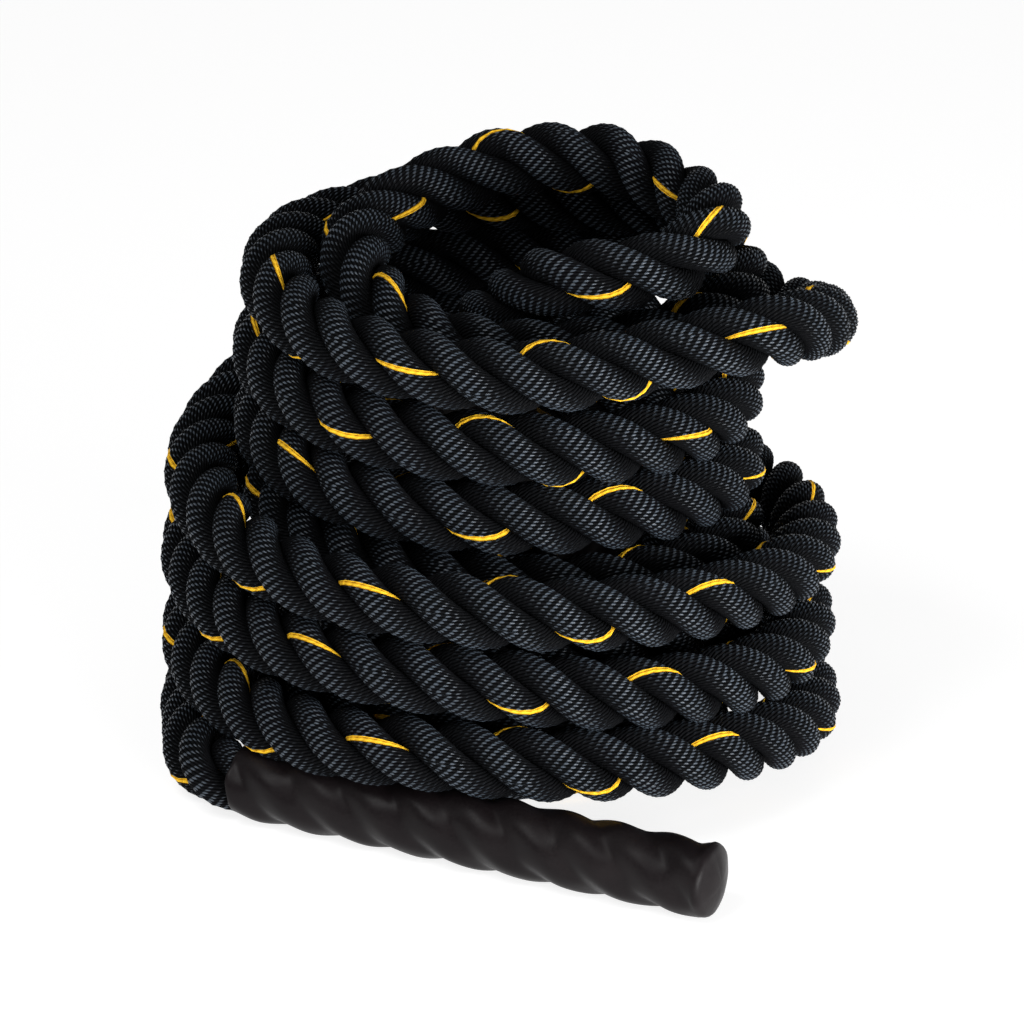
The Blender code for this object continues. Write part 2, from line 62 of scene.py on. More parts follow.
# angle clockwise from the front, distance from the pile's axis, height of the rope's middle
PILE_STATIONS = (
    (75, 4.34, 0.52), (90, 4.26, 0.48), (105, 4.24, 0.43), (120, 4.26, 0.40), (165, 4.29, 0.40),
    (240, 4.21, 0.40), (255, 4.21, 0.42), (270, 4.21, 0.52), (285, 4.26, 0.66), (315, 4.32, 1.05),
    (360, 4.35, 1.42), (375, 4.33, 1.49), (390, 4.31, 1.43), (420, 4.27, 1.44),
    (450, 4.23, 1.51), (480, 4.22, 1.54), (495, 4.09, 1.52),
    (510, 3.86, 1.38), (525, 3.57, 1.15), (540, 3.24, 0.76), (555, 2.87, 0.50), (570, 2.58, 0.41),
    (585, 2.40, 0.40), (600, 2.33, 0.40), (675, 2.30, 0.40), (765, 2.32, 0.40), (810, 2.28, 0.40),
    (825, 2.24, 0.40), (840, 2.21, 0.46), (855, 2.19, 0.62), (870, 2.26, 0.94), (885, 2.37, 1.27),
    (900, 2.51, 1.55), (915, 2.72, 1.60), (930, 2.86, 1.49), (945, 2.95, 1.36), (960, 3.08, 1.27),
    (975, 3.20, 1.24), (1020, 3.22, 1.23), (1110, 3.14, 1.26), (1155, 3.20, 1.30), (1185, 3.12, 1.35),
    (1200, 3.03, 1.42), (1215, 2.99, 1.60), (1230, 2.91, 1.93), (1245, 2.77, 2.36), (1260, 2.65, 2.68),
    (1275, 2.55, 2.64), (1290, 2.50, 2.51), (1305, 2.49, 2.41), (1335, 2.62, 2.18), (1365, 2.80, 2.10),
    (1410, 2.72, 2.13), (1485, 2.56, 2.26), (1515, 2.58, 2.26), (1530, 2.63, 2.30), (1545, 2.73, 2.41),
    (1560, 2.94, 2.60), (1575, 3.25, 2.76), (1590, 3.62, 2.73), (1605, 3.95, 2.40), (1620, 4.17, 2.10),
    (1635, 4.22, 1.82), (1650, 4.21, 1.63), (1665, 4.20, 1.55), (1680, 4.18, 1.55), (1695, 4.15, 1.58),
    (1710, 4.13, 1.67), (1740, 4.18, 1.85), (1755, 4.20, 2.00), (1785, 4.22, 2.31), (1800, 4.21, 2.47),
    (1815, 4.21, 2.552), (1845, 4.21, 2.59), (1890, 4.22, 2.72), (1905, 4.23, 2.79), (1920, 4.26, 2.99),
    (1935, 4.28, 3.29), (1950, 4.29, 3.54), (1965, 4.30, 3.44), (1995, 4.24, 2.94), (2010, 4.22, 2.84),
    (2025, 4.22, 2.81), (2055, 4.20, 2.83), (2070, 4.18, 2.88), (2115, 4.21, 3.22), (2130, 4.21, 3.34),
    (2160, 4.21, 3.52), (2205, 4.21, 3.67), (2220, 4.21, 3.77), (2235, 4.18, 3.90), (2250, 4.13, 3.98),
    (2265, 4.13, 4.07), (2280, 4.15, 4.23), (2295, 4.14, 4.45), (2310, 4.06, 4.57), (2325, 3.87, 4.37),
    (2355, 3.33, 3.62), (2370, 3.14, 3.38), (2385, 3.08, 3.28), (2415, 3.12, 3.08), (2430, 3.13, 3.04),
    (2475, 3.08, 3.17), (2520, 3.00, 3.34), (2535, 2.96, 3.39), (2565, 2.90, 3.50), (2580, 2.95, 3.54),
    (2610, 3.06, 3.62), (2625, 2.95, 3.64), (2640, 2.75, 3.63), (2655, 2.62, 3.60), (2670, 2.50, 3.60),
    (2685, 2.40, 3.66), (2700, 2.31, 3.77), (2715, 2.28, 3.92), (2730, 2.33, 4.05), (2745, 2.50, 4.15),
    (2760, 2.79, 4.157), (2775, 3.00, 4.11), (2790, 3.13, 4.07), (2820, 3.09, 4.18), (2865, 3.02, 4.35),
    (2895, 3.04, 4.41), (2940, 3.16, 4.57), (2955, 3.19, 4.63), (2970, 3.20, 4.66), (3000, 3.12, 4.60),
    (3015, 3.10, 4.68), (3030, 3.05, 4.84), (3045, 3.02, 4.93), (3060, 3.05, 4.94), (3075, 3.08, 4.95),
    (3090, 3.08, 5.00), (3105, 3.10, 5.13), (3120, 3.15, 5.24), (3135, 3.12, 5.21), (3150, 3.10, 5.12),
    (3165, 3.11, 5.12), (3195, 3.08, 5.21), (3225, 3.02, 5.32), (3255, 3.04, 5.41), (3315, 3.19, 5.67),
    (3330, 3.20, 5.72), (3345, 3.17, 5.68), (3375, 3.07, 5.64), (3390, 3.04, 5.71), (3405, 3.04, 5.81),
    (3420, 3.08, 5.85), (3435, 3.12, 5.89), (3450, 3.23, 5.92),
)
SIDE_POINTS = (
    (2.69, 2.47, 5.89), (3.44, 2.25, 5.63), (3.98, 1.67, 5.56), (4.26, 0.91, 5.76), (4.35, 0.11, 6.02),
    (4.26, -0.68, 6.27), (3.99, -1.43, 6.50), (3.54, -2.11, 6.66), (2.81, -2.50, 6.64),
)
CREST_STATIONS = (
    (3570, 3.26, 6.49), (3585, 3.17, 6.43), (3600, 3.11, 6.42), (3615, 3.09, 6.46), (3630, 3.09, 6.52),
    (3645, 3.13, 6.59), (3675, 3.12, 6.80), (3690, 3.04, 6.86), (3705, 3.02, 6.83), (3720, 3.05, 6.77),
    (3735, 3.07, 6.71), (3750, 3.05, 6.72), (3780, 3.04, 6.77), (3795, 3.05, 6.78), (3810, 3.10, 6.83),
    (3825, 3.22, 6.87), (3840, 3.28, 6.74),
)
TOP_POINTS = (
    (3.14, 0.96, 6.50), (3.16, 0.26, 6.38), (2.94, -0.55, 6.36), (2.47, -1.24, 6.32), (1.83, -1.64, 6.28),
    (1.10, -1.85, 6.26), (0.35, -1.96, 6.27), (-0.41, -1.90, 6.32), (-1.09, -1.62, 6.45),
    (-1.63, -1.09, 6.67), (-1.95, -0.45, 6.91), (-1.98, 0.27, 7.06), (-1.74, 0.98, 7.08),
    (-1.27, 1.56, 7.26), (-0.66, 1.91, 7.40), (0.04, 2.02, 7.61), (0.80, 1.97, 7.69), (1.52, 1.76, 7.72),
    (2.17, 1.36, 7.58), (2.64, 0.77, 7.45), (2.86, 0.04, 7.50), (2.76, -0.72, 7.46), (2.26, -1.32, 7.32),
    (1.56, -1.58, 7.28), (0.88, -1.50, 7.20), (0.40, -1.15, 6.90), (0.05, -0.66, 6.42),
)
DIVE_POINTS = ((-0.45, -0.15, 5.86),)
TAIL_STEPS = 12
TAIL_ANGLES = (120.0, 382.0)
TAIL_RADIUS_SHARES = (1.00, 1.28)
TAIL_HEIGHT_SHARES = (5.20, 0.43)
TAIL_SPREAD_SHARE = 0.4


class Slot(Enum):
    """The finishes that the record names."""

    ROPE = "rope"
    SLEEVE = "grip_sleeve"


Pair = tuple[float, float]
Triple = tuple[float, float, float]
Colour = Triple
Number = Union["Term", float]
Settings = dict[str, object]
Values = dict[str | int, object]

# numbers of the Mix node's sockets for colours, whose names are not unique
MIX_FACTOR, MIX_LOW, MIX_HIGH, MIX_RESULT = 0, 6, 7, 2
SOCKET_KINDS = {float: "NodeSocketFloat", int: "NodeSocketInt", Material: "NodeSocketMaterial"}


def feed(node: Node, values: Values) -> None:
    """Fill the input sockets of a node.

    Args:
        node: The node.
        values: A Term to link, or a plain value to set, for each socket's name or number.
    """
    for key, value in values.items():
        if isinstance(value, Term):
            node.id_data.links.new(value.socket, node.inputs[key])
        else:
            node.inputs[key].default_value = value


def add_node(tree: NodeTree, kind: str, settings: Settings | None = None,
             values: Values | None = None) -> Node:
    """Add a node to a tree.

    Args:
        tree: The tree.
        kind: The node's type.
        settings: The node's own settings, which are set before its sockets are filled.
        values: What its sockets get, as feed takes it.

    Returns:
        The new node.
    """
    made = tree.nodes.new(kind)
    for key, value in (settings or {}).items():
        setattr(made, key, value)
    feed(made, values or {})
    return made


class Term:
    """An output in a node tree; where it is a number, ordinary arithmetic can be done with it."""

    def __init__(self, socket: NodeSocket) -> None:
        """Hold an output socket."""
        self.socket = socket

    @classmethod
    def of(cls, tree: NodeTree, kind: str, settings: Settings | None = None,
           values: Values | None = None, output: str | int = 0) -> "Term":
        """Add a node to a tree as add_node does, and return the output that is asked for."""
        return cls(add_node(tree, kind, settings, values).outputs[output])

    @property
    def tree(self) -> NodeTree:
        """Return the tree that the output is in."""
        return self.socket.id_data

    def beside(self, output: str) -> "Term":
        """Return another output of the same node."""
        return Term(self.socket.node.outputs[output])

    def math(self, operation: str, *others: Number) -> "Term":
        """Return the result of a Math node on this number and others."""
        return Term.of(self.tree, "ShaderNodeMath", {"operation": operation},
                       dict(enumerate((self, *others))))

    def __add__(self, other: Number) -> "Term":
        """Return the sum."""
        return self.math("ADD", other)

    def __radd__(self, other: float) -> "Term":
        """Return the sum with a plain number in front."""
        return self.math("ADD", other)

    def __sub__(self, other: Number) -> "Term":
        """Return the difference."""
        return self.math("SUBTRACT", other)

    def __rsub__(self, other: float) -> "Term":
        """Return a plain number less this one."""
        return Term.of(self.tree, "ShaderNodeMath", {"operation": "SUBTRACT"}, {0: other, 1: self})

    def __mul__(self, other: Number) -> "Term":
        """Return the product."""
        return self.math("MULTIPLY", other)

    def __rmul__(self, other: float) -> "Term":
        """Return the product with a plain number in front."""
        return self * other

    def __truediv__(self, other: Number) -> "Term":
        """Return the quotient."""
        return self.math("DIVIDE", other)

    def __rtruediv__(self, other: float) -> "Term":
        """Return a plain number divided by this one."""
        return Term.of(self.tree, "ShaderNodeMath", {"operation": "DIVIDE"}, {0: other, 1: self})

    def wave(self) -> "Term":
        """Return a wave from 0 to 1 with one crest a unit."""
        return (self * math.tau).math("COSINE") * 0.5 + 0.5

    def spread(self, low: float, high: float) -> "Term":
        """Return low where this number is 0, high where it is 1, and in proportion elsewhere."""
        return self * (high - low) + low

    def between(self, low: float, high: float) -> "Term":
        """Return 0 below low, 1 above high and a smooth rise between them."""
        return Term.of(self.tree, "ShaderNodeMapRange", {"interpolation_type": "SMOOTHSTEP"},
                       {"Value": self, "From Min": low, "From Max": high}, "Result")


class Arrow(Term):
    """A vector in a node tree."""

    def vector(self, operation: str, *others: "Arrow") -> "Arrow":
        """Return the vector that a Vector Math node makes of this vector and others."""
        return Arrow.of(self.tree, "ShaderNodeVectorMath", {"operation": operation},
                        dict(enumerate((self, *others))), "Vector")

    def __add__(self, other: "Arrow") -> "Arrow":
        """Return the sum of two vectors."""
        return self.vector("ADD", other)

    def __sub__(self, other: "Arrow") -> "Arrow":
        """Return the difference of two vectors."""
        return self.vector("SUBTRACT", other)

    def __mul__(self, other: Number) -> "Arrow":
        """Return the vector made longer or shorter."""
        return Arrow.of(self.tree, "ShaderNodeVectorMath", {"operation": "SCALE"},
                        {"Vector": self, "Scale": other}, "Vector")

    def dot(self, other: "Arrow") -> Term:
        """Return the dot product."""
        return Term.of(self.tree, "ShaderNodeVectorMath", {"operation": "DOT_PRODUCT"},
                       {0: self, 1: other}, "Value")

    def cross(self, other: "Arrow") -> "Arrow":
        """Return the cross product."""
        return self.vector("CROSS_PRODUCT", other)

    def unit(self) -> "Arrow":
        """Return the vector at length one."""
        return self.vector("NORMALIZE")

    def turned(self, axis: "Arrow", angle: Term) -> "Arrow":
        """Return the vector turned about an axis that it stands square on.

        Args:
            axis: The unit axis.
            angle: The angle in radians.

        Returns:
            The turned vector.
        """
        return self * angle.math("COSINE") + axis.cross(self) * angle.math("SINE")


def blend(terms: Sequence[Term], weights: Sequence[float]) -> Term:
    """Return the sum of some numbers, each times its weight.

    Args:
        terms: The numbers.
        weights: The weight of each.

    Returns:
        The weighted sum.
    """
    total = terms[0] * weights[0]
    for term, weight in zip(terms[1:], weights[1:]):
        total = total + term * weight
    return total


def noise(tree: NodeTree, scale: float, detail: float) -> Term:
    """Return a noise value over the object's own coordinates.

    Args:
        tree: The material's node tree.
        scale: The number of lumps in a metre.
        detail: The number of finer layers.

    Returns:
        The noise, from 0 to 1.
    """
    place = Arrow.of(tree, "ShaderNodeTexCoord", output="Object")
    return Term.of(tree, "ShaderNodeTexNoise", values={"Vector": place, "Scale": scale, "Detail": detail},
                   output="Fac")


def mix_colour(factor: Term, low: Colour | Term, high: Colour | Term) -> Term:
    """Return a colour between two others.

    Args:
        factor: 0 for the low colour, 1 for the high one.
        low: A colour, or a Term that carries one.
        high: A colour, or a Term that carries one.

    Returns:
        The mixed colour.
    """
    low, high = (colour if isinstance(colour, Term) else (*colour, 1.0) for colour in (low, high))
    return Term.of(factor.tree, "ShaderNodeMix", {"data_type": "RGBA"},
                   {MIX_FACTOR: factor, MIX_LOW: low, MIX_HIGH: high}, MIX_RESULT)


def bumped(height: Term, strength: float, distance: float) -> Arrow:
    """Return the surface's normal, tilted as if the surface rose and fell.

    Args:
        height: The height, about 0 to 1.
        strength: The share of the effect that is used.
        distance: The rise in metres of a height of 1.

    Returns:
        The normal.
    """
    return Arrow.of(height.tree, "ShaderNodeBump",
                    values={"Strength": strength, "Distance": distance, "Height": height}, output="Normal")


def new_material(name: str) -> tuple[Material, Node]:
    """Make a material.

    Args:
        name: Its name.

    Returns:
        The material and its shader.
    """
    made = bpy.data.materials.new(name)
    made.use_nodes = True
    return made, made.node_tree.nodes["Principled BSDF"]


def polar(angle: float, radius: float, height: float) -> Vector:
    """Return the point at a clockwise angle in degrees from the front."""
    turn = math.radians(angle)
    return Vector((-radius * math.sin(turn), -radius * math.cos(turn), height))


def hermite(start: Vector, start_slope: Vector, end: Vector, end_slope: Vector, share: float) -> Vector:
    """Return a place on the cubic between two points.

    Args:
        start: The point at share 0.
        start_slope: The slope there, for a whole share.
        end: The point at share 1.
        end_slope: The slope there.
        share: The share of the way.

    Returns:
        The place at that share.
    """
    square = share * share
    cube = square * share
    return (start * (2 * cube - 3 * square + 1) + start_slope * (cube - 2 * square + share)
            + end * (3 * square - 2 * cube) + end_slope * (cube - square))


def even_slopes(times: Sequence[float], values: Sequence[Vector]) -> list[Vector]:
    """Return the slopes of a smooth curve through some values.

    Args:
        times: The time of each value.
        values: The values.

    Returns:
        The slope at each value.
    """
    slopes = [(values[1] - values[0]) / (times[1] - times[0])]
    for index in range(1, len(values) - 1):
        before, after = times[index] - times[index - 1], times[index + 1] - times[index]
        rise_before = (values[index] - values[index - 1]) / before
        rise_after = (values[index + 1] - values[index]) / after
        slopes.append((rise_before * after + rise_after * before) / (before + after))
    slopes.append((values[-1] - values[-2]) / (times[-1] - times[-2]))
    return slopes


def station_points(stations: Sequence[Triple]) -> list[Vector]:
    """Return evenly turned points on a smooth curve through some stations.

    Args:
        stations: The angle, the distance from the axis and the height of each station.

    Returns:
        The points, LOOP_POINTS of them to a turn.
    """
    slopes = even_slopes([station[0] for station in stations],
                         [Vector(station[1:]) for station in stations])
    step = 360 / LOOP_POINTS
    points = []
    for index in range(len(stations) - 1):
        start, end = stations[index], stations[index + 1]
        span = end[0] - start[0]
        for number in range(round(span / step)):
            values = hermite(Vector(start[1:]), slopes[index] * span, Vector(end[1:]),
                             slopes[index + 1] * span, number * step / span)
            points.append(polar(start[0] + number * step, *values))
    points.append(polar(*stations[-1]))
    return points


def tail_points() -> list[Vector]:
    """Return the points of the hidden end, winding down in a widening turn."""
    points = []
    for number in range(TAIL_STEPS + 1):
        share = number / TAIL_STEPS
        spread = min(1.0, share / TAIL_SPREAD_SHARE)
        points.append(polar(
            TAIL_ANGLES[0] + (TAIL_ANGLES[1] - TAIL_ANGLES[0]) * share,
            TAIL_RADIUS_SHARES[0] + (TAIL_RADIUS_SHARES[1] - TAIL_RADIUS_SHARES[0]) * spread,
            TAIL_HEIGHT_SHARES[0] + (TAIL_HEIGHT_SHARES[1] - TAIL_HEIGHT_SHARES[0]) * share,
        ))
    return points


def smooth(knots: Sequence[Vector], steps: int) -> list[Vector]:
    """Return a smooth curve through some knots.

    Args:
        knots: The points that it passes through.
        steps: The number of steps from each knot to the next.

    Returns:
        The curve's points.
    """
    times = [0.0]
    for before, after in zip(knots, knots[1:]):
        times.append(times[-1] + math.sqrt((after - before).length))
    slopes = even_slopes(times, knots)
    points = []
    for index in range(len(knots) - 1):
        span = times[index + 1] - times[index]
        for number in range(steps):
            points.append(hermite(knots[index], slopes[index] * span, knots[index + 1],
                                  slopes[index + 1] * span, number / steps))
    points.append(knots[-1].copy())
    return points


def carried(places: Sequence[Vector]) -> tuple[list[Vector], list[Vector]]:
    """Return the directions along a line and across it, carried without extra twist.

    Args:
        places: Points along the line.

    Returns:
        The unit tangent at each place, and a unit direction across, level at the first place.
    """
    ahead, across = [], []
    side = None
    for index in range(len(places)):
        way = places[min(index + 1, len(places) - 1)] - places[max(index - 1, 0)]
        way.normalize()
        if side is None:
            side = way.cross(Vector((0, 0, 1)))
        side = (side - way * side.dot(way)).normalized()
        ahead.append(way)
        across.append(side.copy())
    return ahead, across


@dataclass
class Route:
    """The rope's middle line from the front sleeve's mouth to its hidden end, in metres."""

    rest_share: float = 0.46
    points: list[Vector] = field(default_factory=list)
    lengths: list[float] = field(default_factory=list)

    def __post_init__(self) -> None:
        """Lay the route out."""
        knots = [Vector(MOUTH_SHARES)]
        knots += [Vector(point) for point in LEAD_POINTS]
        knots += station_points(PILE_STATIONS)
        knots += [Vector(point) for point in SIDE_POINTS]
        knots += station_points(CREST_STATIONS)
        knots += [Vector(point) for point in TOP_POINTS + DIVE_POINTS]
        knots += tail_points()
        axis = Vector((*AXIS_SHARES, 0))
        self.points = smooth([(knot + axis) * ROPE_DIAMETER for knot in knots], CURVE_STEPS)
        self.lengths = [0.0]
        for before, after in zip(self.points, self.points[1:]):
            self.lengths.append(self.lengths[-1] + (after - before).length)
        rest = self.rest_share * ROPE_DIAMETER
        for point in self.points:
            point.z = max(point.z, rest)

    @property
    def length(self) -> float:
        """Return the length from the front mouth to the hidden end."""
        return self.lengths[-1]

    @property
    def heading(self) -> Vector:
        """Return the way from the front sleeve's mouth to its closed end."""
        return Vector((math.cos(SLEEVE_HEADING), math.sin(SLEEVE_HEADING), 0))

    def at(self, length: float) -> Vector:
        """Return the point at a length along the rope.

        Args:
            length: The length from the front mouth; one below 0 lies in the front sleeve.

        Returns:
            The point on the middle line.
        """
        if length <= 0:
            return self.points[0] - self.heading * length
        length = min(length, self.length)
        following = min(bisect_right(self.lengths, length), len(self.lengths) - 1)
        start, end = self.lengths[following - 1], self.lengths[following]
        return self.points[following - 1].lerp(self.points[following], (length - start) / (end - start))


@dataclass(frozen=True)
class RopeFinish:
    """Black polyester yarns with one yellow tracer yarn.

    A yarn's own twist shows as plies, whose tops carry pale dots where the strand faces outwards: a painted
    sheen highlight in the base colour, on top of real coat gloss on the same dots.
    """

    # darker colour for the grooves between yarns: painted shade
    painted_groove_shade: Colour = (0.0016, 0.0017, 0.0020)
    colour: Colour = (0.0045, 0.0048, 0.0056)
    # pale blue-grey for the ply tops on each strand's outward crown: a painted sheen highlight
    painted_sheen: Colour = (0.066, 0.086, 0.112)
    tracer: Colour = (0.95, 0.56, 0.030)
    # darker yellow for the tracer's recesses: painted shade
    tracer_shade: Colour = (0.55, 0.26, 0.012)
    specular: float = 0.04
    roughness: float = 0.85
    coat_roughness: float = 0.36
    coat_ior: float = 1.55
    grain_scale: float = 900.0
    grain_detail: float = 3.0
    blotch_scale: float = 30.0
    blotch_detail: float = 2.0
    ply_length: float = 0.0027
    ply_stagger: float = 0.1
    ply_slant: float = 0.22
    crown_sheen_range: Pair = (0.50, 0.95)
    crest_range: Pair = (0.0, 0.9)
    # each set of weights is for the ply, the yarn's crest and the grain
    dot_weights: Triple = (0.8, 0.5, 0.25)
    dot_range: Pair = (0.88, 1.30)
    yellow_weights: Triple = (0.5, 0.4, 0.4)
    yellow_range: Pair = (0.15, 0.9)
    height_weights: Triple = (0.7, 0.9, 0.2)
    tracer_range: Pair = (0.44, 0.56)
    painted_sheen_shares: Pair = (0.4, 1.1)
    gloss_crown_sheen_shares: Pair = (0.05, 0.90)
    gloss_blotch_shares: Pair = (0.55, 1.05)
    tracer_matt_share: float = 0.8
    bump_strength: float = 1.0
    bump_distance: float = 0.0003

    def material(self) -> Material:
        """Return the rope's material."""
        made, shader = new_material("laid_polyester")
        tree = made.node_tree
        along, crest, yarn, tracer, crown = (
            Term.of(tree, "ShaderNodeAttribute", {"attribute_name": name}, output="Fac")
            for name in ("along", "crest", "yarn", "tracer", "crown"))
        grain = noise(tree, self.grain_scale, self.grain_detail)
        blotch = noise(tree, self.blotch_scale, self.blotch_detail)
        ply = (along / self.ply_length + yarn * self.ply_stagger + crest * self.ply_slant).wave()
        # how much the surface faces outwards from the rope's axis; it places the painted sheen highlight and
        # the real coat gloss
        crown_sheen = crown.between(*self.crown_sheen_range)
        relief = (ply, crest, grain)
        dot = blend(relief, self.dot_weights).between(*self.dot_range)
        # darker in the grooves between yarns: painted shade
        black = mix_colour(crest.between(*self.crest_range), self.painted_groove_shade, self.colour)
        # pale dots on the outward ply tops: painted highlight of the sheen, in the base colour
        black = mix_colour(dot * crown_sheen * blotch.spread(*self.painted_sheen_shares), black, self.painted_sheen)
        # darker yellow between the tracer's plies and at its yarn's edges: painted shade
        yellow = mix_colour(blend(relief, self.yellow_weights).between(*self.yellow_range),
                            self.tracer_shade, self.tracer)
        marked = tracer.between(*self.tracer_range)
        gloss = (dot * crown_sheen.spread(*self.gloss_crown_sheen_shares) * blotch.spread(*self.gloss_blotch_shares)
                 * (1 - marked * self.tracer_matt_share))
        feed(shader, {
            "Base Color": mix_colour(marked, black, yellow),
            "Specular IOR Level": self.specular,
            "Roughness": self.roughness,
            "Coat Weight": gloss,
            "Coat Roughness": self.coat_roughness,
            "Coat IOR": self.coat_ior,
            "Normal": bumped(blend(relief, self.height_weights), self.bump_strength, self.bump_distance),
        })
        return made


@dataclass(frozen=True)
class SleeveFinish:
    """Satin heat-shrunk film, a brownish black with a little dust."""

    colour: Colour = (0.0052, 0.0036, 0.0042)
    dusty: Colour = (0.0110, 0.0084, 0.0090)
    specular: float = 0.14
    roughness: float = 0.34
    dust_roughness: float = 0.16
    fine_roughness: float = 0.08
    fine_scale: float = 700.0
    fine_detail: float = 4.0
    cloud_scale: float = 30.0
    cloud_detail: float = 3.0
    # each pair of weights is for the cloud and the fine noise
    dust_weights: Pair = (0.8, 0.4)
    dust_range: Pair = (0.45, 0.95)
    height_weights: Pair = (0.8, 0.3)
    bump_strength: float = 0.35
    bump_distance: float = 0.0004

    def material(self) -> Material:
        """Return the sleeve's material."""
        made, shader = new_material("shrunk_film")
        fine = noise(made.node_tree, self.fine_scale, self.fine_detail)
        cloud = noise(made.node_tree, self.cloud_scale, self.cloud_detail)
        dust = blend((cloud, fine), self.dust_weights).between(*self.dust_range)
        feed(shader, {
            "Base Color": mix_colour(dust, self.colour, self.dusty),
            "Specular IOR Level": self.specular,
            "Roughness": dust * self.dust_roughness + fine * self.fine_roughness + self.roughness,
            "Normal": bumped(blend((cloud, fine), self.height_weights), self.bump_strength,
                             self.bump_distance),
        })
        return made


@dataclass
class StrandTree:
    """The node tree that lays strands of yarns round a line.

    Each point of the line carries the way ahead, a direction across, its distance along the rope and the
    rope's girth there.
    """

    inputs: Settings
    yarn_points: int = 4
    tracer_points: float = 5.5
    first_strand_limit: float = 0.5
    crease_limit: float = 0.2

    def __post_init__(self) -> None:
        """Make the tree with its named inputs, and fill it."""
        self.tree = bpy.data.node_groups.new("laid_strands", "GeometryNodeTree")
        face = self.tree.interface
        face.new_socket("Geometry", in_out="OUTPUT", socket_type="NodeSocketGeometry")
        face.new_socket("Geometry", in_out="INPUT", socket_type="NodeSocketGeometry")
        for name, value in self.inputs.items():
            face.new_socket(name, in_out="INPUT", socket_type=SOCKET_KINDS[type(value)])
        self.identifiers = {item.name: item.identifier for item in face.items_tree if item.in_out == "INPUT"}
        given = add_node(self.tree, "NodeGroupInput")
        self.size = {socket.name: Term(socket) for socket in given.outputs if socket.name}
        add_node(self.tree, "NodeGroupOutput", values={0: self.dressed(self.tubes())})

    def number(self, name: str) -> Term:
        """Return a stored number as a field."""
        return Term.of(self.tree, "GeometryNodeInputNamedAttribute", {"data_type": "FLOAT"}, {"Name": name})

    def arrow(self, name: str) -> Arrow:
        """Return a stored vector as a field."""
        return Arrow.of(self.tree, "GeometryNodeInputNamedAttribute", {"data_type": "FLOAT_VECTOR"},
                        {"Name": name})

    def store(self, shape: Term, name: str, value: Term) -> Term:
        """Store a value on each point of a shape.

        Args:
            shape: The shape.
            name: The name to store it under.
            value: The number or vector.

        Returns:
            The shape that carries the value.
        """
        kind = "FLOAT_VECTOR" if isinstance(value, Arrow) else "FLOAT"
        return Term.of(self.tree, "GeometryNodeStoreNamedAttribute", {"data_type": kind, "domain": "POINT"},
                       {"Geometry": shape, "Name": name, "Value": value})

    def moved(self, shape: Term, offset: Arrow) -> Term:
        """Return a shape with each of its points moved."""
        return Term.of(self.tree, "GeometryNodeSetPosition", values={"Geometry": shape, "Offset": offset})

    def strand_lines(self) -> Term:
        """Return the strands' middle lines, wound round the given line, with the lean of their yarns."""
        line = Term.of(self.tree, "GeometryNodeMeshToCurve", values={"Mesh": self.size["Geometry"]})
        copies = Term.of(self.tree, "GeometryNodeDuplicateElements", {"domain": "SPLINE"},
                         {"Geometry": line, "Amount": self.size["Strands"]}, "Geometry")
        strand = copies.beside("Duplicate Index")
        laid = self.number("distance") / self.size["Lay Length"]
        turn = (laid + strand / self.size["Strands"]) * math.tau
        wound = self.store(copies, "outward", self.arrow("side").turned(self.arrow("ahead"), turn))
        wound = self.store(wound, "strand", strand)
        outward = self.arrow("outward")
        wound = self.moved(wound, outward * (self.size["Lay Radius"] * self.number("girth")))
        along = Arrow.of(self.tree, "GeometryNodeInputTangent")
        level = (outward - along * outward.dot(along)).unit()
        lean = level.turned(along, laid * self.size["Yarn Turns"] * math.tau)
        return Term.of(self.tree, "GeometryNodeSetCurveNormal", {"mode": "FREE"},
                       {"Curve": wound, "Normal": lean})

    def yarn_ring(self) -> Term:
        """Return a strand's outline, with a valley between each yarn and the next."""
        half_yarn = self.yarn_points / 2
        index = Term.of(self.tree, "GeometryNodeInputIndex")
        yarn = (index / self.yarn_points).math("FLOOR")
        off_middle = (index - yarn * self.yarn_points - half_yarn) / half_yarn
        crest = 1 - off_middle * off_middle
        place = Arrow.of(self.tree, "GeometryNodeInputPosition")
        ring = Term.of(self.tree, "GeometryNodeCurvePrimitiveCircle", values={
            "Resolution": self.size["Yarns"] * self.yarn_points, "Radius": self.size["Strand Radius"]})
        ring = self.moved(ring, place.unit() * ((crest - 1) * self.size["Yarn Depth"]))
        ring = self.store(ring, "crest", crest)
        ring = self.store(ring, "yarn", yarn)
        return self.store(ring, "marked", index.math("LESS_THAN", self.tracer_points))

    def tubes(self) -> Term:
        """Return the strands as tubes, cut to their run and kept above the floor."""
        tubes = Term.of(self.tree, "GeometryNodeCurveToMesh", values={
            "Curve": self.strand_lines(), "Profile Curve": self.yarn_ring(), "Scale": self.number("girth")})
        distance = self.number("distance")
        before = distance.math("LESS_THAN", self.size["From"])
        beyond = distance.math("GREATER_THAN", self.size["To"])
        tubes = Term.of(self.tree, "GeometryNodeDeleteGeometry", {"domain": "POINT"},
                        {"Geometry": tubes, "Selection": before + beyond})
        place = Arrow.of(self.tree, "GeometryNodeInputPosition")
        split = Term.of(self.tree, "ShaderNodeSeparateXYZ", values={"Vector": place}, output="X")
        rested = Arrow.of(self.tree, "ShaderNodeCombineXYZ", values={
            "X": split, "Y": split.beside("Y"), "Z": split.beside("Z").math("MAXIMUM", self.size["Floor"])})
        return Term.of(self.tree, "GeometryNodeSetPosition", values={"Geometry": tubes, "Position": rested})

